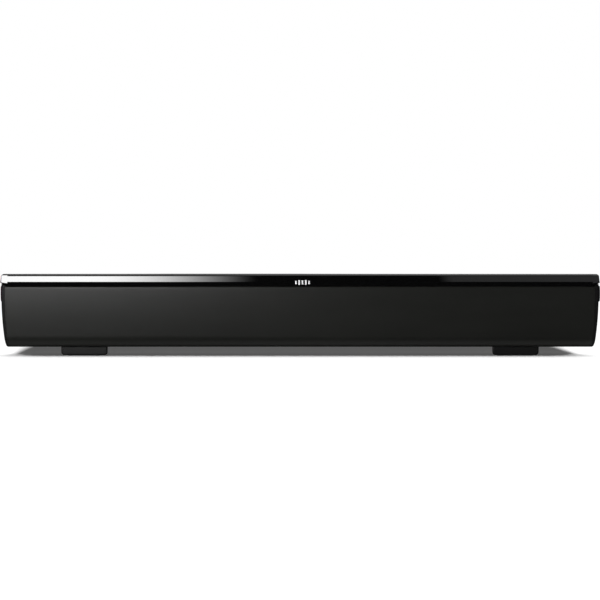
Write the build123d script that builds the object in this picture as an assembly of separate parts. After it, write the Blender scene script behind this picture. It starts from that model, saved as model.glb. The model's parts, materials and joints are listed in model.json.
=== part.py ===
from build123d import *
import math
import os

# A soundbar that stands on two feet. X runs along its length, -Y is the front, Z is up.
# The origin is on the table, under the middle of the body. All sizes are in millimetres.

# ---- driving dimensions ------------------------------------------------------------
LENGTH = 800.0
DEPTH = 112.0
HEIGHT = 110.0
FOOT_H = 12.0
FRONT_Y = -DEPTH / 2
REAR_Y = DEPTH / 2

# lid: a hollow cover whose front edge is the gloss fascia, folded along a crease
CREASE_Z = 99.2
FASCIA_BOTTOM_Z = 93.6
LID_BOTTOM_Z = 92.6
LID_SCREW_Z = 95.5
LEAN_DEG = 6.5
LID_TOP_R = 4.0
LID_CORNER_R = 2.5
LID_WALL = 2.5
FACET_X = 390.4
FACET_LOW_Z = 97.3
FACET_RISE = 1.6
LID_RIB_REACH = LENGTH / 2 - LID_WALL - 3

# body: the section that the cabinet, the grille and the end caps share
BODY_FRONT_Y = -54.2
BODY_BULGE_Y = -55.0
BODY_REAR_Y = 55.5
BODY_TOP_Z = 97.0
BODY_EDGE_Z = 93.2
REAR_EDGE_Z = 92.2
FRONT_R = 14.0
REAR_R = 8.0
TUCK_Y = 53.0
WALL = 2.8

# ends: barrel-shaped caps, each end surface an arc about the height END_MID_Z
END_X = 398.95
END_R = 455.0
SEAM_X = 393.75
SEAM_R = 741.0
END_MID_Z = 84.0
SEAM_GAP = 0.15
CAP_WALL = 2.4
CAP_EDGE_R = 2.6
CAP_TOP_R = 0.8
END_WALL_X = 388.0

# grille
CLOTH_T = 0.6
FRAME_T = 2.5
GRILLE_REAR_Y = -41.0
WINDOW_PITCH = 77.0
WINDOW_W = 71.0

# baffle and cabinet mouth
BAFFLE_Y = -44.0
BAFFLE_T = 3.0
MOUTH_Y = -40.7
MOUTH_Z = (20.0, 88.0)
MOUTH_LIP = 3.7
PARTITION_X = 180.0

# drivers
DRIVER_Z = 54.0
WOOFER_X = 290.0
TWEETER_X = 352.0
WOOFER_FLANGE = 66.0
WOOFER_SCREW = 27.5
TWEETER_R = 22.0
TWEETER_SCREW_R = 19.0
GASKET_T = 0.8

# side pods: the control panel on the right, its blank twin on the left
POD_Y = (-50.0, 16.0)
POD_Z = (72.6, 94.2)
POD_R = 5.0
POD_WALL = 1.8
POD_FACE_T = 2.4
PANEL_X = 401.2
TRIM_X = 400.4
KEY_Y = (-39.5, -24.5, -9.5, 5.5)
KEY_W = 11.0
KEY_H = 13.0
KEY_PROUD = 0.9
KEY_GAP = 0.3
KEY_NAMES = ("power", "source", "volume_down", "volume_up")
KEY_Z = sum(POD_Z) / 2
PANEL_INNER_X = PANEL_X - POD_FACE_T
BOARD_X = (END_WALL_X + 0.5, END_WALL_X + 2.1)
PLUNGER_X = (BOARD_X[1] + 2.2, BOARD_X[1] + 4.2)

# feet
FOOT_X = 289.5
FOOT_W = 62.7
FOOT_Y = (-40.0, 45.0)
FOOT_EDGE_R = 4.5
FOOT_TAPER = 9.0
PAD_T = 1.8
FOOT_RISE = 0.6

# rear recess with the sockets
RECESS_X = (-75.0, 95.0)
RECESS_Z = (32.0, 78.0)
RECESS_FLOOR_Y = 42.0
PLATE_T = 1.5
RCA_X = (-8.0, 12.0, 32.0)
AUX_X = 60.0
INLET_X = -48.0
SOCKET_Z = 55.0
RCA_R = 4.15
RCA_FLANGE_R = 5.0
RCA_FLANGE_T = 1.2

# rear bass ports and wall-bracket inserts
PORT_X = 215.0
PORT_R = 14.0
BRACKET_X = 250.0
BRACKET_Z = (37.5, 72.5)
INSERT_HOLE_R = 2.15
INSERT_R = 3.2
INSERT_L = 8.0

# circuit boards
MAIN_BOARD_X = (-28.0, 84.0)
MAIN_BOARD_Y = (28.4, 30.0)
MAIN_BOARD_Z = (35.0, 77.0)
POWER_BOARD = ((-168.0, -84.0), (-24.0, 36.0))
POWER_BOARD_Z = 22.0

BADGE_X = 3.3
BADGE_Z = 98.3
BADGE_HEIGHTS = (4.6, 6.6, 5.4, 6.6, 4.6)

ELEVATION = Plane.XZ
SIDES = {"left": -1, "right": 1}


# ---- small helpers ---------------------------------------------------------------------
def block(xs, ys, zs):
    """A box between pairs of faces."""
    centre = [sum(pair) / 2 for pair in (xs, ys, zs)]
    return Pos(*centre) * Box(xs[1] - xs[0], ys[1] - ys[0], zs[1] - zs[0])


def rod(start, direction, radius, length):
    """A cylinder that starts at a point and runs along a direction."""
    return extrude(Plane(start, z_dir=direction) * Circle(radius), length)


def tube(start, direction, outer, inner, length):
    return rod(start, direction, outer, length) - rod(start, direction, inner, length)


def mirrored_pair(low, high, side):
    """An interval along X on the chosen side, in rising order."""
    return tuple(sorted((side * low, side * high)))


def turned(points):
    """A solid of revolution from (radius, height) points."""
    return revolve(Plane.XZ * make_face(Polyline(*points, close=True)), Axis.Z)


def group(pieces):
    """Separate solids that share one node."""
    solids = []
    for piece in pieces:
        solids.extend(piece.solids())
    return Compound(children=solids)


def facing_front(x, y, z):
    """Local +Z becomes the front, -Y."""
    return Plane(origin=(x, y, z), x_dir=(1, 0, 0), z_dir=(0, -1, 0)).location


# ---- shared shapes ---------------------------------------------------------------------
def body_face(inset=0.0):
    """The Y-Z section: a slightly convex front, a large lower front radius, a flat floor."""
    floor = FOOT_H + inset
    top = BODY_TOP_Z
    bulge = ThreePointArc(
        (BODY_FRONT_Y + inset, top),
        (BODY_BULGE_Y + inset, 56.0),
        (BODY_FRONT_Y + inset + 0.2, floor),
    )
    rest = Polyline(
        bulge @ 1,
        (BODY_REAR_Y - inset, floor),
        (BODY_REAR_Y - inset, top),
        bulge @ 0,
    )
    face = make_face([bulge, rest])
    low = face.vertices().group_by(Axis.Y)[0].sort_by(Axis.X)
    face = fillet(low[0], FRONT_R - inset)
    low = face.vertices().group_by(Axis.Y)[0].sort_by(Axis.X)
    return fillet(low[-1], REAR_R - inset)


def along_x(face, low, high):
    """The Y-Z face swept between two places along X."""
    return extrude(Plane(origin=(low, 0, 0), x_dir=(0, 1, 0), z_dir=(1, 0, 0)) * face, high - low)


def barrel(half, radius):
    """The space between two end arcs, which the body is trimmed with."""
    reach = {z: half - radius + math.sqrt(radius**2 - (END_MID_Z - z) ** 2) for z in (4, 60, 120)}
    right = ThreePointArc((reach[4], 4), (reach[60], 60), (reach[120], 120))
    left = ThreePointArc((-reach[120], 120), (-reach[60], 60), (-reach[4], 4))
    outline = [right, Line(right @ 1, left @ 0), left, Line(left @ 1, right @ 0)]
    return extrude(ELEVATION * make_face(outline), 80, both=True)


def front_edge_relief():
    """What the body gives up so that the lid's skirt can drop round its top edge."""
    front = block((-420, 420), (-70, BODY_FRONT_Y + 1.2), (BODY_EDGE_Z, 130))
    rear = block((-420, 420), (TUCK_Y, 70), (REAR_EDGE_Z, 130))
    return front + rear


def end_slope(side, clearance):
    """The wedge above an end cap's top face, which slopes up towards its outer edge."""
    inner, outer = SEAM_X - 1.75, END_X + 0.05
    low, high = 94.1 - clearance, 97.5 - clearance
    points = [(inner, low), (outer, high), (outer + 6, high), (outer + 6, 130), (inner, 130)]
    face = make_face(Polyline(*[(side * x, z) for x, z in points], close=True))
    return extrude(ELEVATION * face, 80, both=True)


# ---- lid -------------------------------------------------------------------------------
def lid_outer():
    outline = RectangleRounded(LENGTH, DEPTH, LID_CORNER_R)
    skirt = extrude(Pos(0, 0, LID_BOTTOM_Z) * outline, CREASE_Z - LID_BOTTOM_Z)
    skirt -= block((-420, 420), (FRONT_Y - 1, FRONT_Y + 8), (90, FASCIA_BOTTOM_Z))
    crown = extrude(Pos(0, 0, CREASE_Z) * outline, HEIGHT - CREASE_Z, taper=LEAN_DEG)
    crown = fillet(crown.edges().group_by(Axis.Z)[-1], LID_TOP_R)
    return skirt + crown


def corner_facet(side):
    """What a lid end gives up at the front, so that its bright facet runs down past the crease."""
    lean = (HEIGHT - FACET_LOW_Z) * math.tan(math.radians(LEAN_DEG))
    slab = Polyline(
        (FRONT_Y - 2, FACET_LOW_Z),
        (FRONT_Y, FACET_LOW_Z),
        (FRONT_Y + lean, HEIGHT),
        (FRONT_Y - 2, HEIGHT),
        close=True,
    )
    near, far = mirrored_pair(FACET_X, 402, side)
    outline = [(FACET_X, FACET_LOW_Z), (FACET_X, 112), (402, 112), (402, FACET_LOW_Z + FACET_RISE)]
    wedge = make_face(Polyline(*[(side * x, z) for x, z in outline], close=True))
    return along_x(make_face(slab), near, far) & extrude(ELEVATION * wedge, 80, both=True)


def badge_bars(depth):
    """Five upright bars of a level meter, which follow the fascia's crease."""
    bars = []
    for i, height in enumerate(BADGE_HEIGHTS):
        low, high = BADGE_Z - height / 2, BADGE_Z + height / 2
        lean = max(0.0, high - CREASE_Z) * math.tan(math.radians(LEAN_DEG))
        face_y = FRONT_Y - 0.25
        points = [(face_y, low), (face_y, CREASE_Z), (face_y + lean, high)]
        if high <= CREASE_Z:
            points = [(face_y, low), (face_y, high)]
        points += [(FRONT_Y + depth, high), (FRONT_Y + depth, low)]
        centre = BADGE_X + (i - 2) * 4.4
        face = make_face(Polyline(*points, close=True))
        bars.append(along_x(face, centre - 1.1, centre + 1.1))
    return bars


def make_top_cover():
    inner = RectangleRounded(LENGTH - 2 * LID_WALL, DEPTH - 2 * LID_WALL, 2.0)
    ceiling = HEIGHT - LID_WALL
    lid = lid_outer() - extrude(Pos(0, 0, 90) * inner, ceiling - 90)
    for side in SIDES.values():
        inner_x, outer_x = SEAM_X - 1.75, END_X + 0.05
        points = [(inner_x, 90), (inner_x, 94.1), (outer_x, 97.5), (outer_x + 3, 97.5), (outer_x + 3, 90)]
        face = make_face(Polyline(*[(side * x, z) for x, z in points], close=True))
        lid -= extrude(ELEVATION * face, 80, both=True)
    for y in (-30, 0, 30):
        lid += block((-LID_RIB_REACH, LID_RIB_REACH), (y - 1, y + 1), (ceiling - 4, ceiling + 0.5))
    for x in range(-325, 326, 130):
        lid += block((x - 1, x + 1), (-50, 50), (ceiling - 3, ceiling + 0.5))
        for y in (-30, 30):
            lid += rod((x, y, BODY_TOP_Z), (0, 0, 1), 4.0, ceiling - BODY_TOP_Z + 0.5)
    for side in SIDES.values():
        lid -= corner_facet(side)
    for bar in badge_bars(0.8):
        lid -= bar
    for x in case_screw_xs():
        lid -= rod((x, REAR_Y + 1, LID_SCREW_Z), (0, -1, 0), 1.5, 6)
        lid -= rod((x, REAR_Y + 1, LID_SCREW_Z), (0, -1, 0), 3.0, 1 + 1.4)
    return lid


def make_front_badge():
    return group(badge_bars(0.8))


# ---- cabinet, baffle and grille ------------------------------------------------------------
def make_rear_cabinet():
    """The moulded enclosure: walls, end walls, two partitions, bosses and the socket recess."""
    shell = along_x(body_face(), -400, 400) & barrel(SEAM_X - SEAM_GAP, SEAM_R)
    shell -= block((-420, 420), (-80, MOUTH_Y), (0, 130))
    shell -= front_edge_relief()
    cavity = along_x(body_face(WALL), -385.2, 385.2)
    cavity &= block((-400, 400), (MOUTH_Y + MOUTH_LIP, TUCK_Y - WALL), (0, BODY_TOP_Z - WALL))
    shell -= cavity
    shell -= block((-381, 381), (MOUTH_Y - 1, MOUTH_Y + MOUTH_LIP + 1), MOUTH_Z)
    end_space = body_face(WALL)
    for side in SIDES.values():
        pocket = along_x(end_space, *mirrored_pair(END_WALL_X, 400, side))
        pocket &= block((-400, 400), (MOUTH_Y - 1, 50.2), (0, BODY_TOP_Z - WALL))
        shell -= pocket
        partition = block(
            mirrored_pair(PARTITION_X, PARTITION_X + 2.5, side),
            (MOUTH_Y + 0.5, TUCK_Y - WALL + 0.5),
            (FOOT_H + 1, BODY_TOP_Z - 1),
        )
        shell += partition - block((-300, 300), (-60, MOUTH_Y + MOUTH_LIP), MOUTH_Z)
    shell += recess_box()
    shell -= recess_space()
    for x, z in plate_screw_places():
        shell -= rod((x, RECESS_FLOOR_Y + 1, z), (0, -1, 0), 1.2, 5)
    for x in (-BRACKET_X, BRACKET_X):
        for z in BRACKET_Z:
            shell += rod((x, BODY_REAR_Y, z), (0, -1, 0), 6.5, INSERT_L + 4)
            shell -= rod((x, BODY_REAR_Y + 1, z), (0, -1, 0), INSERT_R, INSERT_L + 1)
            shell -= rod((x, BODY_REAR_Y + 1, z), (0, -1, 0), INSERT_HOLE_R, INSERT_L + 3)
    for x in (-PORT_X, PORT_X):
        shell -= rod((x, BODY_REAR_Y + 1, DRIVER_Z), (0, -1, 0), PORT_R + 2, 12)
        shell -= rod((x, BODY_REAR_Y + 1, DRIVER_Z), (0, -1, 0), PORT_R + 6, 1 + 1.2)
    for x, y in foot_screw_places():
        shell += rod((x, y, FOOT_H + 1), (0, 0, 1), 4.5, 10)
        shell -= rod((x, y, FOOT_H - 1), (0, 0, 1), 1.5, 10)
    for x, z in baffle_screw_places():
        shell -= rod((x, MOUTH_Y - 1, z), (0, 1, 0), 1.25, 1 + MOUTH_LIP)
    for x in case_screw_xs():
        shell -= rod((x, TUCK_Y + 1, LID_SCREW_Z), (0, -1, 0), 1.5, 6)
    for x, y in power_board_posts():
        shell += rod((x, y, FOOT_H + 1), (0, 0, 1), 3.0, POWER_BOARD_Z - FOOT_H - 1)
    return shell


def recess_box():
    """The walls that line the socket recess, inside the cabinet."""
    xs = (RECESS_X[0] - 2.5, RECESS_X[1] + 2.5)
    zs = (RECESS_Z[0] - 2.5, RECESS_Z[1] + 2.5)
    return block(xs, (RECESS_FLOOR_Y - 3, BODY_REAR_Y - 1), zs)


def recess_space():
    """The recess itself, and the hole in its floor behind the connector plate."""
    well = block(RECESS_X, (RECESS_FLOOR_Y, 60), RECESS_Z)
    through = block(
        (RECESS_X[0] + 6, RECESS_X[1] - 6),
        (RECESS_FLOOR_Y - 5, RECESS_FLOOR_Y + 1),
        (RECESS_Z[0] + 5, RECESS_Z[1] - 5),
    )
    return well + through


def baffle_screw_places():
    xs = [-370, -246, -123, 0, 123, 246, 370]
    return [(x, z) for x in xs for z in (18.8, 90.2)]


def case_screw_xs():
    return [-330, -165, 0, 165, 330]


def foot_screw_places():
    return [(side * FOOT_X, y) for side in SIDES.values() for y in (-8.0, 14.0)]


def power_board_posts():
    (x0, x1), (y0, y1) = POWER_BOARD
    return [(x, y) for x in (x0 + 5, x1 - 5) for y in (y0 + 5, y1 - 5)]


def peg_places():
    """The grille frame's pegs, on the ribs between its windows."""
    return [(rib * WINDOW_PITCH, z) for rib in (-3, -1, 1, 3) for z in (26.0, 83.0)]


def make_front_baffle():
    face = (BAFFLE_Y, BAFFLE_Y + BAFFLE_T)
    board = block((-386.5, 386.5), face, (15.9, 93.4))
    board = fillet(board.edges().filter_by(Axis.Y), 3.0)
    for side in SIDES.values():
        board -= rod((side * WOOFER_X, BAFFLE_Y - 1, DRIVER_Z), (0, 1, 0), 31.5, 10)
        board -= rod((side * TWEETER_X, BAFFLE_Y - 1, DRIVER_Z), (0, 1, 0), 15.0, 10)
    for x, z in baffle_screw_places():
        board -= rod((x, BAFFLE_Y - 1, z), (0, 1, 0), 1.4, 10)
    for x, z in peg_places():
        board -= rod((x, BAFFLE_Y - 1, z), (0, 1, 0), 2.7, 10)
    for x, z in driver_screw_places():
        board -= rod((x, BAFFLE_Y + BAFFLE_T + 1, z), (0, -1, 0), 1.1, 3.0)
    return board


def grille_space(gap):
    """The front of the body, which the grille covers."""
    space = block((-400, 400), (-80, GRILLE_REAR_Y), (0, BODY_EDGE_Z))
    return space & barrel(SEAM_X - gap, SEAM_R)


def make_grille_cloth():
    skin = along_x(body_face(), -400, 400) - along_x(body_face(CLOTH_T), -400, 400)
    return skin & grille_space(SEAM_GAP)


def make_grille_frame():
    """A moulded frame under the cloth, open in ten windows, with a tongue behind the fascia."""
    outer = along_x(body_face(CLOTH_T), -400, 400)
    frame = outer - along_x(body_face(CLOTH_T + FRAME_T), -400, 400)
    frame &= grille_space(SEAM_GAP + 0.3)
    tongue = block((-390, 390), (-53.0, -51.1), (BODY_EDGE_Z - 4, BODY_TOP_Z - 0.5))
    frame += tongue - grille_space(0)
    for i in range(10):
        x = (i - 4.5) * WINDOW_PITCH
        width = (x - WINDOW_W / 2, x + WINDOW_W / 2)
        window = block(width, (-60, -48), (24, 86))
        frame -= fillet(window.edges().filter_by(Axis.Y), 4.0)
    for x, z in peg_places():
        frame += rod((x, -53.0, z), (0, 1, 0), 2.5, 53.0 + BAFFLE_Y + 2)
    return frame


# ---- end caps and side pods ------------------------------------------------------------
def pod_outline(grow=0.0):
    width = POD_Y[1] - POD_Y[0] + 2 * grow
    height = POD_Z[1] - POD_Z[0] + 2 * grow
    return Pos(sum(POD_Y) / 2, KEY_Z) * RectangleRounded(width, height, POD_R + grow)


def make_end_cap(side):
    """A hollow cap with four posts that reach the cabinet's end wall, and the pod's opening."""
    near, far = mirrored_pair(386, 402, side)
    cap = along_x(body_face(), near, far) & barrel(END_X, END_R)
    cap -= end_slope(side, 0.4)
    outer_face = cap.faces().filter_by(GeomType.CYLINDER).sort_by(lambda f: side * f.center().X)[-1]
    top = outer_face.edges().sort_by(lambda e: e.center().Z)[-1:]
    sides = [e for e in outer_face.edges() if e not in top]
    cap = fillet(sides, CAP_EDGE_R)
    outer_face = cap.faces().filter_by(GeomType.CYLINDER).sort_by(lambda f: side * f.center().X)[-1]
    top = outer_face.edges().sort_by(lambda e: e.center().Z)[-1:]
    cap = fillet(top, CAP_TOP_R)
    cap -= barrel(SEAM_X, SEAM_R)
    hollow = along_x(body_face(CAP_WALL), near, far) & barrel(END_X - CAP_WALL, END_R)
    hollow -= end_slope(side, 0.4 + CAP_WALL)
    cap -= hollow
    for y, z in ((-40, 32), (43, 32), (43, 82), (-40, 62)):
        reach = END_X - END_R + math.sqrt(END_R**2 - (END_MID_Z - z) ** 2) - 1.0
        cap += rod((side * END_WALL_X, y, z), (side, 0, 0), 4.0, reach - END_WALL_X)
    cap -= along_x(pod_outline(0.12), near, far)
    return cap


def pod_shell(side, face_x):
    """A tray that stands on the cabinet's end wall and fills the cap's opening."""
    pod = along_x(pod_outline(), *mirrored_pair(END_WALL_X, face_x, side))
    rim = pod.faces().sort_by(Axis.X)[-1 if side > 0 else 0]
    pod = fillet(rim.edges(), 1.0)
    inside = along_x(pod_outline(-POD_WALL), *mirrored_pair(END_WALL_X - 1, face_x - POD_FACE_T, side))
    return pod - inside


def key_outline(y, grow=0.0):
    return Pos(y, KEY_Z) * RectangleRounded(KEY_W + 2 * grow, KEY_H + 2 * grow, 2.6 + grow)


def make_control_panel():
    panel = pod_shell(1, PANEL_X)
    for y in KEY_Y:
        panel -= along_x(key_outline(y, KEY_GAP), PANEL_X - 5, PANEL_X + 1)
    return panel


def make_key(y):
    """A key cap with a retaining flange behind the panel and a stem that meets its switch."""
    cap = along_x(key_outline(y), PANEL_INNER_X - 1.4, PANEL_X + KEY_PROUD)
    cap = fillet(cap.faces().sort_by(Axis.X)[-1].edges(), 0.7)
    flange = along_x(key_outline(y, 1.0), PANEL_INNER_X - 1.4, PANEL_INNER_X - 0.3)
    stem = rod((PLUNGER_X[1], y, KEY_Z), (1, 0, 0), 1.6, PANEL_INNER_X - 1 - PLUNGER_X[1])
    return cap + flange + stem


def make_plunger(y):
    return rod((PLUNGER_X[0], y, KEY_Z), (1, 0, 0), 1.7, PLUNGER_X[1] - PLUNGER_X[0])


def make_control_board():
    board = block(BOARD_X, (POD_Y[0] + 2.4, POD_Y[1] - 2.4), (POD_Z[0] + 2.4, POD_Z[1] - 2.4))
    return fillet(board.edges().filter_by(Axis.X), 3.0)


def make_switch_bodies():
    bodies = []
    for y in KEY_Y:
        body = block((BOARD_X[1], BOARD_X[1] + 3.4), (y - 3, y + 3), (KEY_Z - 3, KEY_Z + 3))
        bodies.append(body - rod((BOARD_X[1] + 1, y, KEY_Z), (1, 0, 0), 1.95, 5))
    return group(bodies)


# ---- feet ------------------------------------------------------------------------------
def make_foot(side):
    """A wide foot with rounded lower ends, two pad seats and two counterbored screw holes."""
    middle, half = side * FOOT_X, FOOT_W / 2
    narrow = half - FOOT_TAPER
    plan = Polyline(
        (middle - half, FOOT_Y[0]),
        (middle + half, FOOT_Y[0]),
        (middle + narrow, FOOT_Y[1]),
        (middle - narrow, FOOT_Y[1]),
        close=True,
    )
    foot = extrude(Pos(0, 0, FOOT_RISE) * make_face(plan), FOOT_H - FOOT_RISE)
    low = [e for e in foot.edges() if e.center().Z < 2 and abs(e.center().X - middle) > 20]
    foot = fillet(low, FOOT_EDGE_R)
    foot = fillet(foot.edges().filter_by(Axis.Z), 2.0)
    for pad in foot_pads_at(side):
        foot -= pad
    for x, y in foot_screw_places():
        foot -= rod((x, y, 0), (0, 0, 1), 4.0, 5.0)
        foot -= rod((x, y, 0), (0, 0, 1), 1.8, 20)
    return foot


def foot_pads_at(side):
    pads = []
    for y, width in ((-27.0, 48.0), (33.0, 32.0)):
        outline = Pos(side * FOOT_X, y) * RectangleRounded(width, 16, 4)
        pads.append(extrude(outline, PAD_T))
    return pads


def make_foot_pads():
    return group([pad for side in SIDES.values() for pad in foot_pads_at(side)])


def screw(start, direction, head_r, head_h, shank_r, length, depth=0.0):
    """A pan head with a cross recess, and its shank; the start is under the head."""
    back = [-c for c in direction]
    head = rod(start, back, head_r, head_h)
    top = [s + b * head_h for s, b in zip(start, back)]
    place = Plane(top, z_dir=direction)
    slots = Rectangle(head_r * 1.1, head_r * 0.28) + Rectangle(head_r * 0.28, head_r * 1.1)
    head -= extrude(place * slots, head_h * 0.6)
    return head + rod(start, direction, shank_r, length)


def make_foot_screws():
    return group([screw((x, y, 5.0), (0, 0, 1), 3.2, 2.0, 1.5, 15) for x, y in foot_screw_places()])


def make_case_screws():
    """Baffle screws along the mouth, and lid screws along the back."""
    screws = [screw((x, BAFFLE_Y, z), (0, 1, 0), 2.4, 1.5, 1.25, 6.5) for x, z in baffle_screw_places()]
    for x in case_screw_xs():
        screws.append(screw((x, REAR_Y - 1.4, LID_SCREW_Z), (0, -1, 0), 2.7, 1.3, 1.5, 6))
    return group(screws)


# ---- woofers -----------------------------------------------------------------------------
def at_driver(x):
    return facing_front(x, BAFFLE_Y + BAFFLE_T + GASKET_T, DRIVER_Z)


def make_basket():
    """A square flange, a windowed cone of four spokes, a spider shelf and a base ring."""
    cup = turned([
        (28.6, 0), (32.0, 0), (32.0, -2.0), (30.6, -2.0), (25.2, -13.0), (25.2, -20.0), (11.4, -20.0),
        (11.4, -18.2), (21.5, -18.2), (21.5, -13.0), (23.4, -13.0), (28.6, -2.2),
    ])
    flange = extrude(RectangleRounded(WOOFER_FLANGE, WOOFER_FLANGE, 8), -2) - Cylinder(30, 10)
    basket = cup + flange
    for turn in (0, 90, 180, 270):
        window = block((20, 36), (-12, 12), (-11.5, -3.2))
        basket -= Rot(0, 0, turn) * fillet(window.edges().filter_by(Axis.X), 2.5)
        vent = block((22.5, 36), (-9, 9), (-17.4, -14.2))
        basket -= Rot(0, 0, turn) * vent
    for x in (-WOOFER_SCREW, WOOFER_SCREW):
        for y in (-WOOFER_SCREW, WOOFER_SCREW):
            basket -= Pos(x, y, 0) * Cylinder(1.6, 10)
    return basket


def make_motor():
    """Front plate, ring magnet, and a yoke with its pole."""
    plate = turned([(10.75, -20), (20, -20), (20, -23), (10.75, -23)])
    magnet = turned([(12.5, -23), (22.5, -23), (22.5, -32), (12.5, -32)])
    yoke = turned([(2.5, -20), (9.35, -20), (9.35, -32), (20, -32), (20, -35), (2.5, -35)])
    return group([plate, magnet, yoke])


def make_voice_coil():
    return turned([
        (9.7, -8.6), (9.95, -8.6), (9.95, -18), (10.35, -18), (10.35, -25.5), (9.95, -25.5), (9.95, -27), (9.7, -27),
    ])


def make_cone():
    return turned([(9.95, -9.4), (23.8, -0.8), (23.8, 0.0), (9.95, -8.6)])


def spherical_cap(radius, rise, base, thickness):
    """A thin cap of a sphere whose rim has the given radius and height."""
    ball = (radius**2 + rise**2) / (2 * rise)
    centre = base + rise - ball
    shell = Pos(0, 0, centre) * (Sphere(ball) - Sphere(ball - thickness))
    return shell & Pos(0, 0, base + rise) * Box(3 * radius, 3 * radius, 2 * rise)


def make_dust_cap():
    return spherical_cap(11.2, 3.3, -7.7, 0.6)


def make_surround():
    """A half roll of rubber between the cone's edge and the basket."""
    under = ThreePointArc((24.15, 0.05), (26.35, 2.25), (28.55, 0.05))
    over = ThreePointArc((29.0, 0.55), (26.35, 2.75), (23.7, 0.55))
    outer_lip = Polyline(under @ 1, (31.2, 0.05), (31.2, 0.55), over @ 0)
    inner_lip = Polyline(over @ 1, (22.6, 0.55), (22.6, 0.05), under @ 0)
    return revolve(Plane.XZ * make_face([under, outer_lip, over, inner_lip]), Axis.Z)


def make_spider():
    """A corrugated ring that centres the coil."""
    crests = [(11.2 + 1.2 * i, -12.9 + (0.7 if i % 2 else -0.7)) for i in range(8)]
    top = [(10.1, -12.6), (10.8, -12.6)] + [(r, z + 0.4) for r, z in crests] + [(20.6, -12.6), (23.0, -12.6)]
    bottom = [(23.0, -13.0), (20.6, -13.0)] + crests[::-1] + [(10.8, -13.0), (10.1, -13.0)]
    return turned(top + bottom)


# ---- tweeters ------------------------------------------------------------------------------
def make_tweeter_housing():
    """A round faceplate and the motor pot behind it, with the groove that the coil moves in."""
    housing = turned([
        (13.5, 0), (TWEETER_R, 0), (TWEETER_R, -2), (16, -2), (16, -14), (0, -14),
        (0, -2.5), (11.5, -2.5), (11.5, -9), (13.5, -9),
    ])
    for turn in (45, 135, 225, 315):
        housing -= Rot(0, 0, turn) * Pos(TWEETER_SCREW_R, 0, 0) * Cylinder(1.6, 10)
    return housing


def make_tweeter_dome():
    """A fabric dome on its short coil former."""
    former = turned([(12.35, -6), (12.7, -6), (12.7, 0.2), (12.35, 0.2)])
    return spherical_cap(12.8, 3.6, 0.0, 0.5) + former


def driver_screw_places():
    places = []
    for side in SIDES.values():
        for dx in (-WOOFER_SCREW, WOOFER_SCREW):
            for dz in (-WOOFER_SCREW, WOOFER_SCREW):
                places.append((side * WOOFER_X + dx, DRIVER_Z + dz))
        for dx in (-1, 1):
            for dz in (-1, 1):
                step = TWEETER_SCREW_R * math.sqrt(0.5)
                places.append((side * TWEETER_X + dx * step, DRIVER_Z + dz * step))
    return places


def make_driver_screws():
    under_head = BAFFLE_Y + BAFFLE_T + GASKET_T + 2.0
    return group([screw((x, under_head, z), (0, -1, 0), 2.6, 1.4, 1.1, 4.6) for x, z in driver_screw_places()])


def make_driver_gaskets():
    square = RectangleRounded(WOOFER_FLANGE, WOOFER_FLANGE, 8) - Circle(31.6)
    ring = Circle(TWEETER_R) - Circle(15.2)
    gaskets = []
    for side in SIDES.values():
        for x, face in ((side * WOOFER_X, square), (side * TWEETER_X, ring)):
            gaskets.append(at_driver(x) * extrude(face, GASKET_T))
    sheet = group(gaskets)
    holes = [rod((x, BAFFLE_Y, z), (0, 1, 0), 1.6, 8) for x, z in driver_screw_places()]
    for hole in holes:
        sheet -= hole
    return sheet


# ---- rear: sockets, ports, inserts ---------------------------------------------------------
def plate_screw_places():
    xs = (RECESS_X[0] + 3, RECESS_X[1] - 3)
    return [(x, z) for x in xs for z in (RECESS_Z[0] + 3, RECESS_Z[1] - 3)]


def make_connector_plate():
    face = RECESS_FLOOR_Y + PLATE_T
    plate = block(
        (RECESS_X[0] + 0.3, RECESS_X[1] - 0.3), (RECESS_FLOOR_Y, face), (RECESS_Z[0] + 0.3, RECESS_Z[1] - 0.3)
    )
    for x in RCA_X:
        plate -= rod((x, 60, SOCKET_Z), (0, -1, 0), 4.6, 30)
    plate -= rod((AUX_X, 60, SOCKET_Z), (0, -1, 0), 3.2, 30)
    plate -= block((INLET_X - 10.2, INLET_X + 10.2), (30, 60), (SOCKET_Z - 6.2, SOCKET_Z + 6.2))
    for x, z in plate_screw_places():
        plate -= rod((x, 60, z), (0, -1, 0), 1.4, 30)
    return plate


def make_plate_screws():
    y = RECESS_FLOOR_Y + PLATE_T
    return group([screw((x, y, z), (0, -1, 0), 2.3, 1.3, 1.2, 4.2) for x, z in plate_screw_places()])


def make_rca_shells():
    """The metal sleeves that the audio plugs push over."""
    face = RECESS_FLOOR_Y + PLATE_T
    shells = []
    for x in RCA_X:
        sleeve = tube((x, face, SOCKET_Z), (0, 1, 0), RCA_R, 3.3, 9.0)
        shells.append(sleeve + tube((x, face, SOCKET_Z), (0, 1, 0), RCA_FLANGE_R, 3.3, RCA_FLANGE_T))
    return group(shells)


def make_rca_insulators():
    """Coloured rings, the sockets' inner plugs with their centre holes, and the jack bodies."""
    face = RECESS_FLOOR_Y + PLATE_T
    bodies = []
    for x in RCA_X:
        ring = tube((x, face, SOCKET_Z), (0, 1, 0), 6.0, RCA_FLANGE_R, RCA_FLANGE_T)
        core = rod((x, 38.0, SOCKET_Z), (0, 1, 0), 3.3, face + 8.0 - 38.0)
        body = block((x - 5, x + 5), (MAIN_BOARD_Y[1], RECESS_FLOOR_Y - 1), (SOCKET_Z - 6, SOCKET_Z + 6))
        bodies.append(ring)
        bodies.append(core + body - rod((x, 34.0, SOCKET_Z), (0, 1, 0), 1.6, 30))
    return group(bodies)


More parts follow.
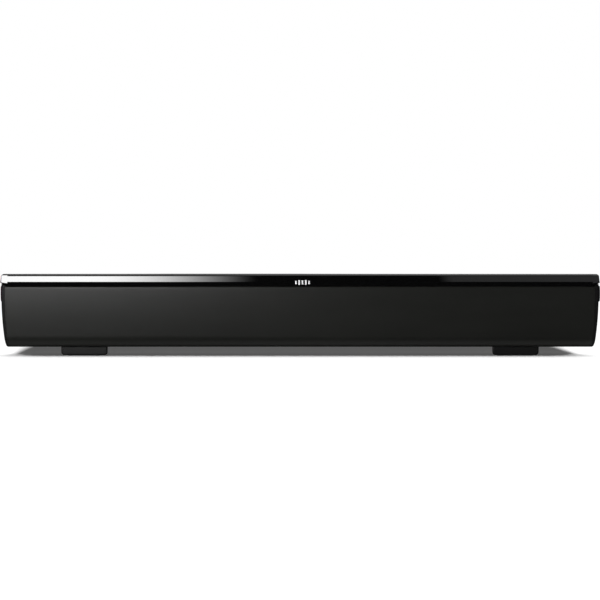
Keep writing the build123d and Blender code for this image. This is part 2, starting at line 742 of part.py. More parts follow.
def make_aux_jack():
    body = block((AUX_X - 6, AUX_X + 6), (MAIN_BOARD_Y[1], RECESS_FLOOR_Y), (SOCKET_Z - 5.5, SOCKET_Z + 5.5))
    nose = rod((AUX_X, RECESS_FLOOR_Y - 1, SOCKET_Z), (0, 1, 0), 3.0, 5.5)
    nut = tube((AUX_X, RECESS_FLOOR_Y + PLATE_T, SOCKET_Z), (0, 1, 0), 5.0, 2.9, 2.0)
    return body + nose + nut - rod((AUX_X, 32.5, SOCKET_Z), (0, 1, 0), 1.75, 30)


def inlet_face(width, height):
    return RectangleRounded(width, height, height / 2 - 0.05)


def make_power_inlet():
    """A two-pin mains inlet with an oval well."""
    place = Plane(origin=(INLET_X, RECESS_FLOOR_Y + PLATE_T, SOCKET_Z), x_dir=(1, 0, 0), z_dir=(0, 1, 0))
    flange = extrude(place * RectangleRounded(26, 17, 2), 2.0)
    body = extrude(place * RectangleRounded(20, 12, 2), -16.0)
    well = extrude(place * inlet_face(17, 8.8), -12.0) + extrude(place * inlet_face(17, 8.8), 3.0)
    return flange + body - well


def make_inlet_pins():
    start = RECESS_FLOOR_Y + PLATE_T - 12.0
    return group([rod((INLET_X + dx, start, SOCKET_Z), (0, 1, 0), 1.2, 10.5) for dx in (-4.3, 4.3)])


def make_bass_ports():
    """A tube with a flared mouth, let into the rear wall, for each channel."""
    ports = []
    for x in (-PORT_X, PORT_X):
        port = tube((x, BODY_REAR_Y, DRIVER_Z), (0, -1, 0), PORT_R + 2, PORT_R, 52)
        port += tube((x, BODY_REAR_Y, DRIVER_Z), (0, -1, 0), PORT_R + 5.8, PORT_R, 1.2)
        ports.append(port)
    return group(ports)


def make_bracket_inserts():
    return group([
        tube((x, BODY_REAR_Y, z), (0, -1, 0), INSERT_R, INSERT_HOLE_R, INSERT_L)
        for x in (-BRACKET_X, BRACKET_X) for z in BRACKET_Z
    ])


# ---- electronics ---------------------------------------------------------------------------
def make_main_board():
    board = block(MAIN_BOARD_X, MAIN_BOARD_Y, MAIN_BOARD_Z)
    for x in (MAIN_BOARD_X[0] + 4, MAIN_BOARD_X[1] - 4):
        for z in (MAIN_BOARD_Z[0] + 4, MAIN_BOARD_Z[1] - 4):
            board -= rod((x, 20, z), (0, 1, 0), 1.6, 20)
    return board


def make_heat_sink():
    """A finned block on the amplifier chip."""
    front = MAIN_BOARD_Y[0] - 1.6
    sink = block((18, 58), (front - 3, front), (46, 72))
    for i in range(8):
        x = 19 + i * 5.3
        sink += block((x, x + 1.6), (front - 18, front - 2), (46, 72))
    return sink


def make_board_components():
    """Chips, capacitors and coils on the main board's front."""
    face = MAIN_BOARD_Y[0]
    parts = [
        block((30, 46), (face - 1.6, face), (52, 66)),
        block((-16, -2), (face - 1.2, face), (54, 68)),
        block((-22, -12), (face - 1.2, face), (40, 47)),
    ]
    for x in (0, 12, 24, 66, 76):
        parts.append(rod((x, face, 41.5), (0, -1, 0), 4.0, 11))
    for z in (56, 68):
        parts.append(block((64, 76), (face - 8, face), (z - 5, z + 5)))
    return group(parts)


def make_power_board():
    """The mains supply: board, transformer, bulk capacitors, bridge and fuse holder."""
    top = POWER_BOARD_Z + 1.6
    parts = [
        block(*POWER_BOARD, (POWER_BOARD_Z, top)),
        block((-140, -112), (-8, 16), (top, top + 24)),
        rod((-153, 10, top), (0, 0, 1), 9.0, 30),
        rod((-98, -6, top), (0, 0, 1), 5.0, 20),
        rod((-98, 10, top), (0, 0, 1), 5.0, 20),
        block((-164, -144), (-20, -12), (top, top + 8)),
        block((-104, -90), (20, 30), (top, top + 11)),
    ]
    return group(parts)


def make_sensor_board():
    """A small board under the lid with the remote receiver behind the fascia."""
    board = block((85, 125), (-49.6, -48.0), (99.0, 107.5))
    receiver = block((92, 98), (-52.0, -49.6), (100.5, 106.5)) + rod((95, -52.0, 103.5), (0, -1, 0), 2.2, 1.0)
    lamp = rod((112, -49.6, 103.5), (0, -1, 0), 1.5, 3.2)
    return group([board, receiver, lamp])


# ---- the whole object ----------------------------------------------------------------------
def all_parts():
    parts = {
        "top_cover": make_top_cover(),
        "front_badge": make_front_badge(),
        "rear_cabinet": make_rear_cabinet(),
        "front_baffle": make_front_baffle(),
        "grille_frame": make_grille_frame(),
        "grille_cloth": make_grille_cloth(),
        "left_side_trim": pod_shell(-1, TRIM_X),
        "right_control_panel": make_control_panel(),
        "control_board": make_control_board(),
        "switch_bodies": make_switch_bodies(),
        "foot_pads": make_foot_pads(),
        "foot_screws": make_foot_screws(),
        "case_screws": make_case_screws(),
        "driver_screws": make_driver_screws(),
        "driver_gaskets": make_driver_gaskets(),
        "connector_plate": make_connector_plate(),
        "plate_screws": make_plate_screws(),
        "rca_shells": make_rca_shells(),
        "rca_insulators": make_rca_insulators(),
        "aux_jack": make_aux_jack(),
        "power_inlet": make_power_inlet(),
        "inlet_pins": make_inlet_pins(),
        "bass_ports": make_bass_ports(),
        "bracket_inserts": make_bracket_inserts(),
        "main_board": make_main_board(),
        "board_components": make_board_components(),
        "heat_sink": make_heat_sink(),
        "power_board": make_power_board(),
        "sensor_board": make_sensor_board(),
    }
    for name, y in zip(KEY_NAMES, KEY_Y):
        parts[f"{name}_button"] = make_key(y)
        parts[f"{name}_plunger"] = make_plunger(y)
    woofer = {
        "basket": make_basket(),
        "motor": make_motor(),
        "voice_coil": make_voice_coil(),
        "cone": make_cone(),
        "dust_cap": make_dust_cap(),
        "surround": make_surround(),
        "spider": make_spider(),
    }
    tweeter = {"housing": make_tweeter_housing(), "dome": make_tweeter_dome()}
    for name, side in SIDES.items():
        parts[f"{name}_end_cap"] = make_end_cap(side)
        parts[f"{name}_foot"] = make_foot(side)
        for piece, shape in woofer.items():
            parts[f"{name}_woofer_{piece}"] = at_driver(side * WOOFER_X) * shape
        for piece, shape in tweeter.items():
            parts[f"{name}_tweeter_{piece}"] = at_driver(side * TWEETER_X) * shape
    return parts


os.makedirs("parts", exist_ok=True)
for node, shape in all_parts().items():
    export_step(shape, f"parts/{node}.step")
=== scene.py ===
"""The looks of a long, low soundbar: a black gloss lid, satin end caps, a cloth front and side keys."""
import json
import math

import bmesh
import bpy
from bpy.props import FloatProperty, FloatVectorProperty, IntProperty, PointerProperty
from mathutils import Matrix, Vector


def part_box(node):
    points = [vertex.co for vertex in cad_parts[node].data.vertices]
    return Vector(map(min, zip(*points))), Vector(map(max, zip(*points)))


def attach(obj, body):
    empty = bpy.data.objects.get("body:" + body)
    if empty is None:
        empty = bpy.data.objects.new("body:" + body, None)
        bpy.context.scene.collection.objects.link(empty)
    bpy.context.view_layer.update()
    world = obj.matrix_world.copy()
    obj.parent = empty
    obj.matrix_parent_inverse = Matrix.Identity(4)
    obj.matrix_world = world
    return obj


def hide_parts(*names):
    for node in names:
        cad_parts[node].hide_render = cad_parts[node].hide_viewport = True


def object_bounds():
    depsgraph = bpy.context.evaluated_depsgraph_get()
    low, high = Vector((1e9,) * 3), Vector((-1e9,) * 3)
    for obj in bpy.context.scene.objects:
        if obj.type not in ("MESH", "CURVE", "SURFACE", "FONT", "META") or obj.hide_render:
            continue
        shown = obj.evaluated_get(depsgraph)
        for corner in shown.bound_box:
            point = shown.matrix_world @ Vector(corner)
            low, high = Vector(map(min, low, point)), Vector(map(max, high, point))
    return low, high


bl_info = {
    "name": "Soundbar Maker",
    "version": (1, 0, 0),
    "blender": (4, 5, 0),
    "location": "3D View > Sidebar > Soundbar",
    "description": "Finishes a soundbar's packed frame with cloth, marks, materials and a studio",
    "category": "Object",
}

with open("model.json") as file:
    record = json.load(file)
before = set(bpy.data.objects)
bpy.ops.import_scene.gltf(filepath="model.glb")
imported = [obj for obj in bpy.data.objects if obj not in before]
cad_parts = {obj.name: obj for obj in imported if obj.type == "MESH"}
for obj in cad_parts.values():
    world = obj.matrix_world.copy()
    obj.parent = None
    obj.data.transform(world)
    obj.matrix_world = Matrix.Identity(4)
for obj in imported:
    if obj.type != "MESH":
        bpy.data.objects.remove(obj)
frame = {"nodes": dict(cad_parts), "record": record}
NODES = frame["nodes"]
CAD_LOW, CAD_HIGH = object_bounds()
MM = 0.001
ROOT_BODY = "enclosure"
KEY_NAMES = ("power", "source", "volume_down", "volume_up")
SIDE_NAMES = ("left", "right")


# ---- what a user would change ---------------------------------------------------------------
class SoundbarSizes(bpy.types.PropertyGroup):
    """Sizes of the pieces that are added to the frame."""

    weave_pitch: FloatProperty(
        name="Weave Pitch", description="Distance between the cloth's threads",
        default=0.9 * MM, unit="LENGTH", precision=5,
    )
    cloth_thickness: FloatProperty(
        name="Cloth Thickness", description="Thickness of the speaker cloth",
        default=0.45 * MM, unit="LENGTH", precision=5,
    )
    cloth_columns: IntProperty(
        name="Cloth Columns", description="Mesh columns along the cloth", default=200, min=40, max=600
    )
    cloth_rows: IntProperty(
        name="Cloth Rows", description="Mesh rows over the front's curve", default=48, min=16, max=120
    )
    badge_bevel: FloatProperty(
        name="Badge Bevel", description="Rounding of the badge bars' edges",
        default=0.25 * MM, unit="LENGTH", precision=5,
    )
    edge_bevel: FloatProperty(
        name="Edge Bevel", description="Rounding of the moulded edges",
        default=0.3 * MM, unit="LENGTH", precision=5,
    )
    mark_height: FloatProperty(
        name="Mark Height", description="How far the key symbols stand out",
        default=0.08 * MM, unit="LENGTH", precision=5,
    )


class SoundbarColours(bpy.types.PropertyGroup):
    """Colours of the finishes."""

    lacquer: FloatVectorProperty(
        name="Lacquer", description="Gloss black of the lid", subtype="COLOR", size=3,
        default=(0.0012, 0.0012, 0.0013),
    )
    cloth: FloatVectorProperty(
        name="Cloth", description="Speaker cloth", subtype="COLOR", size=3, default=(0.0076, 0.0079, 0.0070)
    )
    cap: FloatVectorProperty(
        name="Cap", description="Satin black of the end caps", subtype="COLOR", size=3,
        default=(0.0065, 0.0065, 0.0066),
    )
    moulding: FloatVectorProperty(
        name="Moulding", description="Textured black plastic", subtype="COLOR", size=3,
        default=(0.0110, 0.0110, 0.0112),
    )
    badge: FloatVectorProperty(
        name="Badge", description="Bright badge metal", subtype="COLOR", size=3, default=(0.78, 0.78, 0.79)
    )


class SoundbarStudio(bpy.types.PropertyGroup):
    """Camera and light."""

    eye_distance: FloatProperty(
        name="Eye Distance", description="From the front face to the camera", default=2.5, unit="LENGTH"
    )
    eye_height: FloatProperty(
        name="Eye Height", description="Height of the camera above the table", default=0.0992, unit="LENGTH"
    )
    lens: FloatProperty(name="Lens", description="Focal length in millimetres", default=112.5)
    floor_light: FloatProperty(
        name="Floor Light", description="Strength of the floor's light from above", default=4.0
    )
    # Painted light: the floor's own glow, which lightens the shadow on it
    floor_glow: FloatProperty(name="Floor Glow", description="What the floor shows in shadow", default=0.09)
    overhead: FloatProperty(
        name="Overhead Light", description="Strength of the object's light from above", default=1.6
    )
    rear: FloatProperty(name="Rear Lights", description="Strength of each light from behind", default=1.6)
    bounce: FloatProperty(
        name="Floor Bounce", description="Strength of the light the floor sends back up", default=0.3
    )
    overhead_box: FloatProperty(name="Overhead Box", description="Radiance of the box above", default=1.2)
    softbox: FloatProperty(name="Softbox", description="Radiance of the front softbox", default=20.5)
    card: FloatProperty(name="Card", description="Radiance of the dim card on the right", default=0.42)


# ---- shader maths ---------------------------------------------------------------------------
class Sock:
    """A shader socket that Python's arithmetic adds Math nodes to."""

    def __init__(self, tree, out):
        self.tree = tree
        self.out = out

    def node(self, kind, settings=None, inputs=None, output=0):
        """Adds any node: its settings are made first, then its sockets are set or linked."""
        made = self.tree.nodes.new(kind)
        for name, value in (settings or {}).items():
            if name == "stops":
                ramp = made.color_ramp
                while len(ramp.elements) < len(value):
                    ramp.elements.new(0.5)
                for element, (place, colour) in zip(ramp.elements, value):
                    element.position = place
                    element.color = colour
            else:
                setattr(made, name, value)
        for name, value in (inputs or {}).items():
            socket = made.inputs[name]
            if isinstance(value, Sock):
                self.tree.links.new(value.out, socket)
            elif socket.type == "RGBA" and len(value) == 3:
                socket.default_value = (*value, 1.0)
            else:
                socket.default_value = value
        return Sock(self.tree, made.outputs[output]) if made.outputs else None

    def maths(self, operation, other=0.0, flip=False):
        first, second = (other, self) if flip else (self, other)
        return self.node("ShaderNodeMath", {"operation": operation}, {0: first, 1: second})

    def __add__(self, other):
        return self.maths("ADD", other)

    __radd__ = __add__

    def __sub__(self, other):
        return self.maths("SUBTRACT", other)

    def __rsub__(self, other):
        return self.maths("SUBTRACT", other, flip=True)

    def __mul__(self, other):
        return self.maths("MULTIPLY", other)

    __rmul__ = __mul__

    def __truediv__(self, other):
        return self.maths("DIVIDE", other)

    def __gt__(self, other):
        return self.maths("GREATER_THAN", other)

    def __lt__(self, other):
        return self.maths("LESS_THAN", other)

    def clamped(self):
        return self.node("ShaderNodeClamp", None, {"Value": self})

    def blend(self, low, high):
        """A colour between low and high by this mask."""
        return self.node(
            "ShaderNodeMix", {"data_type": "RGBA", "clamp_factor": True}, {0: self, 6: low, 7: high}, output=2
        )

    def spread(self, low, high):
        """A number between low and high by this mask."""
        return low + self * (high - low)


class Finish:
    """A material under construction: its Principled shader and its coordinates."""

    def __init__(self, name):
        self.material = bpy.data.materials.new(name)
        self.material.use_nodes = True
        self.tree = self.material.node_tree
        self.tree.nodes.clear()
        root = Sock(self.tree, None)
        self.node = root.node
        self.shader = self.node("ShaderNodeBsdfPrincipled")
        self.node("ShaderNodeOutputMaterial", None, {"Surface": self.shader})
        self.place = self.node("ShaderNodeTexCoord", output=3)
        self.axes = [self.node("ShaderNodeSeparateXYZ", None, {0: self.place}, output=i) for i in range(3)]

    def own_uv(self):
        """U and V of the piece's own map, in metres."""
        uv = self.node("ShaderNodeTexCoord", output=2)
        return [self.node("ShaderNodeSeparateXYZ", None, {0: uv}, output=i) for i in range(2)]

    def noise(self, scale, detail=3.0, roughness=0.55, stretch=(1.0, 1.0, 1.0)):
        """Noise by place, with scale in bumps per metre."""
        place = self.node("ShaderNodeMapping", None, {"Vector": self.place, "Scale": stretch})
        inputs = {"Vector": place, "Scale": scale, "Detail": detail, "Roughness": roughness}
        return self.node("ShaderNodeTexNoise", None, inputs)

    def specks(self, scale, size):
        """Small dots scattered by place."""
        cells = self.node("ShaderNodeTexVoronoi", None, {"Vector": self.place, "Scale": scale})
        return cells < size

    def bump(self, height, distance, strength=1.0):
        """Raises the surface; distance is the height in metres that a value of 1 stands for."""
        inputs = {"Height": height, "Distance": distance, "Strength": strength}
        return self.node("ShaderNodeBump", None, inputs)

    def set(self, **values):
        """Sets or links the shader's sockets by their plain names."""
        shader = self.shader.out.node
        for name, value in values.items():
            socket = shader.inputs[name.replace("_", " ")]
            if isinstance(value, Sock):
                self.tree.links.new(value.out, socket)
            elif socket.type == "RGBA" and len(value) == 3:
                socket.default_value = (*value, 1.0)
            else:
                socket.default_value = value
        return self.material


# ---- finishes -------------------------------------------------------------------------------
def scaled(colour, share):
    """The same colour, darker or lighter, and never past white."""
    return tuple(min(1.0, c * share) for c in colour)


def lacquer_finish(name, colour):
    """Piano-black lacquer: a faint orange peel, dust specks and slight polishing haze."""
    f = Finish(name)
    haze = f.noise(9.0, 2.0)
    dust = f.specks(420.0, 0.035) * (f.noise(35.0) > 0.62)
    peel = f.noise(130.0, 2.0, 0.4)
    return f.set(
        Base_Color=dust.blend(colour, (0.03, 0.03, 0.03)),
        Roughness=haze.spread(0.04, 0.08) + dust * 0.3,
        Specular_IOR_Level=0.1,
        Coat_Weight=1.0,
        Coat_Roughness=0.02,
        Normal=f.bump(peel, 0.02 * MM, 0.12),
    )


def cloth_finish(name, colour, pitch):
    """Plain-woven speaker cloth: over-and-under threads with slubs and a soft sheen."""
    f = Finish(name)
    u, v = f.own_uv()
    turns = 2 * math.pi / (2 * pitch)
    across = (u * turns).maths("SINE")
    along = (v * turns).maths("SINE")
    weave = (across * along).maths("MULTIPLY_ADD", 0.5)
    ridges = ((u * (2 * turns)).maths("SINE") + (v * (2 * turns)).maths("SINE")) * 0.25 + 0.5
    threads = (weave * 0.6 + ridges * 0.4).clamped()
    slubs = f.noise(60.0, 4.0, 0.6, (0.15, 1.0, 1.0))
    patches = f.noise(7.0, 2.0)
    tone = (threads * 0.7 + slubs * 0.35 + patches * 0.15 - 0.1).clamped()
    return f.set(
        Base_Color=tone.blend(scaled(colour, 0.45), scaled(colour, 1.7)),
        Roughness=threads.spread(0.34, 0.26),
        Specular_IOR_Level=0.19,
        Sheen_Weight=0.011,
        Sheen_Roughness=0.45,
        Sheen_Tint=(0.9, 0.92, 0.88),
        Normal=f.bump(threads + slubs * 0.3, 0.05 * MM, 0.3),
    )


def moulded_finish(name, colour, grain=1.0, roughness=(0.42, 0.6), level=0.5):
    """Textured moulded plastic: a fine spark grain, flow variation and rubbed spots."""
    f = Finish(name)
    fine = f.noise(2600.0 / grain, 2.0, 0.5)
    flow = f.noise(14.0, 3.0)
    rubbed = (f.noise(45.0, 4.0) - 0.55).clamped() * 1.6
    return f.set(
        Base_Color=(flow * 0.6 + fine * 0.4).blend(scaled(colour, 0.7), scaled(colour, 1.4)),
        Roughness=fine.spread(*roughness) - rubbed * 0.12,
        Specular_IOR_Level=level,
        Normal=f.bump(fine, 0.03 * MM * grain, 0.5),
    )


def metal_finish(
    name, colour, roughness=(0.22, 0.38), brushed=(1.0, 1.0, 1.0), scale=900.0, bump=0.01, metallic=1.0
):
    """Plated, turned or brushed metal with streaks along one direction and a few dull patches."""
    f = Finish(name)
    streaks = f.noise(scale, 3.0, 0.6, brushed)
    patches = f.noise(60.0, 3.0)
    tone = streaks * 0.6 + patches * 0.4
    return f.set(
        Base_Color=tone.blend(scaled(colour, 0.82), scaled(colour, 1.08)),
        Metallic=metallic,
        Roughness=tone.spread(*roughness),
        Normal=f.bump(streaks, bump * MM, 0.3),
    )


def rubber_finish(name, colour=(0.016, 0.016, 0.017)):
    """Dull rubber with moulding bloom."""
    f = Finish(name)
    bloom = f.noise(70.0, 4.0)
    pores = f.noise(1800.0, 2.0)
    return f.set(
        Base_Color=(bloom * 0.7 + pores * 0.3).blend(scaled(colour, 0.7), scaled(colour, 1.9)),
        Roughness=bloom.spread(0.62, 0.8),
        Specular_IOR_Level=0.4,
        Normal=f.bump(pores, 0.05 * MM, 0.4),
    )


def board_finish(name):
    """Green solder mask over copper tracks, with tinned pads."""
    f = Finish(name)
    x, y, z = f.axes
    lanes = ((x * 2300.0).maths("SINE") * (z + y * 0.6).maths("MULTIPLY", 1700.0).maths("SINE")) > 0.35
    gate = f.noise(160.0, 1.0) > 0.5
    tracks = lanes * gate
    pads = f.specks(330.0, 0.16)
    mask = tracks.blend((0.006, 0.07, 0.028), (0.02, 0.15, 0.055))
    return f.set(
        Base_Color=pads.blend(mask, (0.62, 0.62, 0.6)),
        Metallic=pads,
        Roughness=pads.spread(0.32, 0.28),
        Normal=f.bump(tracks + pads, 0.035 * MM, 0.5),
    )


def components_finish(name):
    """Black epoxy and sleeved cans, told apart in patches."""
    f = Finish(name)
    sleeve = f.noise(28.0, 0.0) > 0.56
    grain = f.noise(1500.0, 3.0)
    return f.set(
        Base_Color=sleeve.blend((0.018, 0.018, 0.02), (0.02, 0.035, 0.09)),
        Roughness=grain.spread(0.3, 0.55),
        Normal=f.bump(grain, 0.02 * MM, 0.4),
    )


def paper_finish(name):
    """Coated paper pulp with fibres and pressed rings."""
    f = Finish(name)
    fibres = f.noise(500.0, 5.0, 0.7, (1.0, 1.0, 0.35))
    blotch = f.noise(90.0, 3.0)
    return f.set(
        Base_Color=(fibres * 0.6 + blotch * 0.4).blend((0.008, 0.008, 0.009), (0.05, 0.05, 0.048)),
        Roughness=fibres.spread(0.5, 0.78),
        Normal=f.bump(fibres, 0.12 * MM, 0.5),
    )


def woven_finish(name, low, high, pitch=0.6 * MM):
    """Open cloth stiffened with resin, for the spiders and the domes."""
    f = Finish(name)
    x, _, z = f.axes
    turns = 2 * math.pi / pitch
    threads = ((x * turns).maths("SINE") * (z * turns).maths("SINE")) * 0.5 + 0.5
    resin = f.noise(120.0, 3.0)
    return f.set(
        Base_Color=(threads * 0.5 + resin * 0.5).blend(low, high),
        Roughness=resin.spread(0.45, 0.75),
        Normal=f.bump(threads, 0.08 * MM, 0.5),
    )


def motor_finish(name, magnet_front, magnet_back):
    """Zinc-plated steel plates with a dark sintered magnet between them."""
    f = Finish(name)
    y = f.axes[1]
    ferrite = (y > magnet_front) * (y < magnet_back)
    grain = f.noise(1100.0, 4.0, 0.65)
    tone = f.noise(60.0, 2.0)
    steel = tone.blend((0.5, 0.5, 0.48), (0.68, 0.67, 0.62))
    return f.set(
        Base_Color=ferrite.node(
            "ShaderNodeMix", {"data_type": "RGBA"}, {0: ferrite, 6: steel, 7: (0.03, 0.03, 0.033)}, output=2
        ),
        Metallic=1.0 - ferrite,
        Roughness=ferrite.spread(0.3, 0.62) + grain * 0.1,
        Normal=f.bump(grain, 0.03 * MM, 0.5),
    )


def coil_finish(name):
    """Enamelled copper wire, turn beside turn."""
    f = Finish(name)
    y = f.axes[1]
    turns = (y * (2 * math.pi / (0.25 * MM))).maths("SINE") * 0.5 + 0.5
    heat = f.noise(200.0, 2.0)
    return f.set(
        Base_Color=heat.blend((0.55, 0.2, 0.09), (0.85, 0.42, 0.2)),
        Metallic=1.0,
        Roughness=turns.spread(0.42, 0.22),
        Normal=f.bump(turns, 0.05 * MM, 0.6),
    )


def socket_ring_finish(name, edges, colours):
    """Moulded plastic whose colour changes from socket to socket, with the black bodies behind."""
    f = Finish(name)
    x = f.axes[0]
    colour = (x > edges[0]).blend(colours[0], colours[1])
    colour = (x > edges[1]).node(
        "ShaderNodeMix", {"data_type": "RGBA"}, {0: x > edges[1], 6: colour, 7: (*colours[2], 1.0)}, output=2
    )
    grain = f.noise(1900.0, 2.0)
    return f.set(Base_Color=colour, Roughness=grain.spread(0.24, 0.4), Normal=f.bump(grain, 0.02 * MM, 0.4))


# ---- mesh helpers ---------------------------------------------------------------------------
WELD_DISTANCE = 0.002 * MM
FLAT_ANGLE = math.radians(0.05)
SHARP_ANGLE = math.radians(28)
BEVEL_ANGLE = math.radians(40)
FACE_WEIGHT = 80


def new_piece(name, mesh_maker, body, material, replaced=()):
    """Builds a mesh piece with bmesh, and lets it ride on a body."""
    mesh = bpy.data.meshes.new(name)
    bm = bmesh.new()
    mesh_maker(bm)
    bm.to_mesh(mesh)
    bm.free()
    piece = bpy.data.objects.new(name, mesh)
    bpy.context.scene.collection.objects.link(piece)
    mesh.materials.append(material)
    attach(piece, body)
    if replaced:
        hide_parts(*replaced)
    return piece


def body_of(node):
    """The body that a frame node rides on."""
    for body, members in frame["record"]["behaviour"]["bodies"].items():
        if node in members:
            return body
    raise KeyError(node)


def smooth_copy(node, material, bevel=0.0):
    """A welded copy of a frame node with rounded edges and even shading, which stands for it."""
    source = NODES[node].data

    def weld(bm):
        bm.from_mesh(source)
        bmesh.ops.remove_doubles(bm, verts=bm.verts, dist=WELD_DISTANCE)
        bmesh.ops.dissolve_limit(
            bm, angle_limit=FLAT_ANGLE, verts=bm.verts, edges=bm.edges, delimit={"NORMAL"}
        )

    piece = new_piece(f"{node}_finished", weld, body_of(node), material, (node,))
    piece.data.shade_smooth()
    piece.data.set_sharp_from_angle(angle=SHARP_ANGLE)
    if bevel:
        rounding = piece.modifiers.new("Rounded Edges", "BEVEL")
        rounding.width = bevel
        rounding.segments = 2
        rounding.limit_method = "ANGLE"
        rounding.angle_limit = BEVEL_ANGLE
        rounding.use_clamp_overlap = True
        rounding.miter_outer = "MITER_ARC"
        rounding.harden_normals = False
    even = piece.modifiers.new("Even Shading", "WEIGHTED_NORMAL")
    even.keep_sharp = True
    even.weight = FACE_WEIGHT
    return piece


def shade_apart(piece, reach):
    """Shades the small front facets beyond the reach by themselves, as long neighbours outweigh them."""
    mesh = piece.data
    edges = {edge.key: edge for edge in mesh.edges}
    for face in mesh.polygons:
        if abs(face.center.x) > reach and face.normal.y < -0.98 and face.normal.z > 0.05:
            for key in face.edge_keys:
                edges[key].use_edge_sharp = True


def paint(nodes, material):
    """Gives frame nodes a material in place of their plain one."""
    for node in nodes:
        for slot in NODES[node].material_slots:
            slot.material = material


# ---- the front's curve, as the frame has it -----------------------------------------------------
END_MID_Z = 84.0 * MM
SEAM_R = 741.0 * MM
FRONT_R = 14.0 * MM
FLOOR_Z = 12.0 * MM
CORNER_FACET_X = 390.4 * MM
BULGE_Z = 56.0 * MM
BULGE = 0.8 * MM
BULGE_MARGIN = 5.0 * MM
TURN_LENGTH = FRONT_R * math.pi / 2
TAIL_LENGTH = 0.4 * MM


def front_curve(share):
    """A point of the front's section and its outward normal, from the top (0) to under the bar (1)."""
    low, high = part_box("grille_cloth")
    top_z = high.z
    fillet_z = FLOOR_Z + FRONT_R
    face_length = top_z - fillet_z
    run = share * (face_length + TURN_LENGTH + TAIL_LENGTH)
    deepest = low.y
    reach = top_z - BULGE_Z + BULGE_MARGIN
    if run <= face_length:
        z = top_z - run
        offset = BULGE * ((z - BULGE_Z) / reach) ** 2
        slope = 2 * BULGE * (z - BULGE_Z) / reach**2
        normal = Vector((0, -1, slope)).normalized()
        return Vector((0, deepest + offset, z)), normal
    start = deepest + BULGE * ((fillet_z - BULGE_Z) / reach) ** 2
    centre = Vector((0, start + FRONT_R, fillet_z))
    if run <= face_length + TURN_LENGTH:
        angle = (run - face_length) / FRONT_R
        normal = Vector((0, -math.cos(angle), -math.sin(angle)))
        return centre + normal * FRONT_R, normal
    return centre + Vector((0, run - face_length - TURN_LENGTH, -FRONT_R)), Vector((0, 0, -1))


def front_length():
    """Length of the whole curve, which is the cloth's flat depth."""
    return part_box("grille_cloth")[1].z - FLOOR_Z - FRONT_R + TURN_LENGTH + TAIL_LENGTH


def seam_half(z):
    """Half length of the cloth at a height: its ends follow the caps' seam."""
    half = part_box("grille_cloth")[1].x
    return half - SEAM_R + math.sqrt(SEAM_R**2 - (END_MID_Z - z) ** 2)


# ---- operators ------------------------------------------------------------------------------
CLOTH_SKIN = 0.05 * MM
CLOTH_TUCK = 0.12 * MM
TUCK_REACH = 0.8 * MM


class SOUNDBAR_OT_cloth(bpy.types.Operator):
    """Stretch the speaker cloth over the grille frame"""

    bl_idname = "soundbar.cloth"
    bl_label = "Speaker Cloth"

    def execute(self, context):
        sizes = context.scene.soundbar_sizes
        colours = context.scene.soundbar_colours
        columns, rows = sizes.cloth_columns, sizes.cloth_rows
        length = 2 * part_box("grille_cloth")[1].x
        depth = front_length()

        def stretch(bm):
            bmesh.ops.create_grid(bm, x_segments=columns, y_segments=rows, size=0.5)
            uv = bm.loops.layers.uv.new("cloth")
            for vert in bm.verts:
                vert.co.x = math.sin(vert.co.x * math.pi) / 2
            for face in bm.faces:
                for loop in face.loops:
                    loop[uv].uv = ((loop.vert.co.x + 0.5) * length, (loop.vert.co.y + 0.5) * depth)
            for vert in bm.verts:
                share = 0.5 - vert.co.y
                point, normal = front_curve(share)
                half = seam_half(point.z)
                x = vert.co.x * 2 * half
                edge = min(half - abs(x), (1 - share) * depth, share * depth)
                dip = CLOTH_TUCK * max(0.0, 1 - edge / TUCK_REACH) ** 2
                vert.co = Vector((x, 0, 0)) + point - normal * (CLOTH_SKIN + dip)

        weave = cloth_finish("speaker_cloth", colours.cloth, sizes.weave_pitch)
        piece = new_piece(
            "grille_cloth_stretched", stretch, ROOT_BODY, weave, ("grille_cloth",)
        )
        piece.data.shade_smooth()
        thick = piece.modifiers.new("Thickness", "SOLIDIFY")
        thick.thickness = sizes.cloth_thickness
        thick.offset = -1
        return {"FINISHED"}


class SOUNDBAR_OT_shell(bpy.types.Operator):
    """Lacquer the lid, and finish the end caps, the side pods, the cabinet and the feet"""

    bl_idname = "soundbar.shell"
    bl_label = "Shell Finishes"

    def execute(self, context):
        sizes = context.scene.soundbar_sizes
        colours = context.scene.soundbar_colours
        lacquer = lacquer_finish("lid_lacquer", colours.lacquer)
        cap = moulded_finish("cap_satin", colours.cap, 0.5, (0.26, 0.36), level=0.06)
        moulding = moulded_finish("cabinet_moulding", colours.moulding, 1.6, (0.5, 0.68))
        foot = moulded_finish("foot_moulding", scaled(colours.moulding, 0.5), 1.0, (0.35, 0.5), 0.14)
        shade_apart(smooth_copy("top_cover", lacquer), CORNER_FACET_X)
        for side in SIDE_NAMES:
            smooth_copy(f"{side}_end_cap", cap)
            smooth_copy(f"{side}_foot", foot, sizes.edge_bevel)
        smooth_copy("left_side_trim", cap)
        smooth_copy("right_control_panel", cap)
        smooth_copy("rear_cabinet", moulding)
        smooth_copy("bass_ports", foot)
        smooth_copy("power_inlet", foot)
        paint(["grille_frame", "front_baffle", "aux_jack"], moulding)
        return {"FINISHED"}


class SOUNDBAR_OT_badge(bpy.types.Operator):
    """Set the level-meter badge into the fascia"""

    bl_idname = "soundbar.badge"
    bl_label = "Badge"

    def execute(self, context):
        sizes = context.scene.soundbar_sizes
        colours = context.scene.soundbar_colours
        material = metal_finish(
            "badge_metal", colours.badge, (0.38, 0.5), (1.0, 1.0, 0.02), 2400.0, metallic=0.3
        )
        piece = smooth_copy("front_badge", material, sizes.badge_bevel)
        piece.modifiers["Rounded Edges"].segments = 3
        return {"FINISHED"}


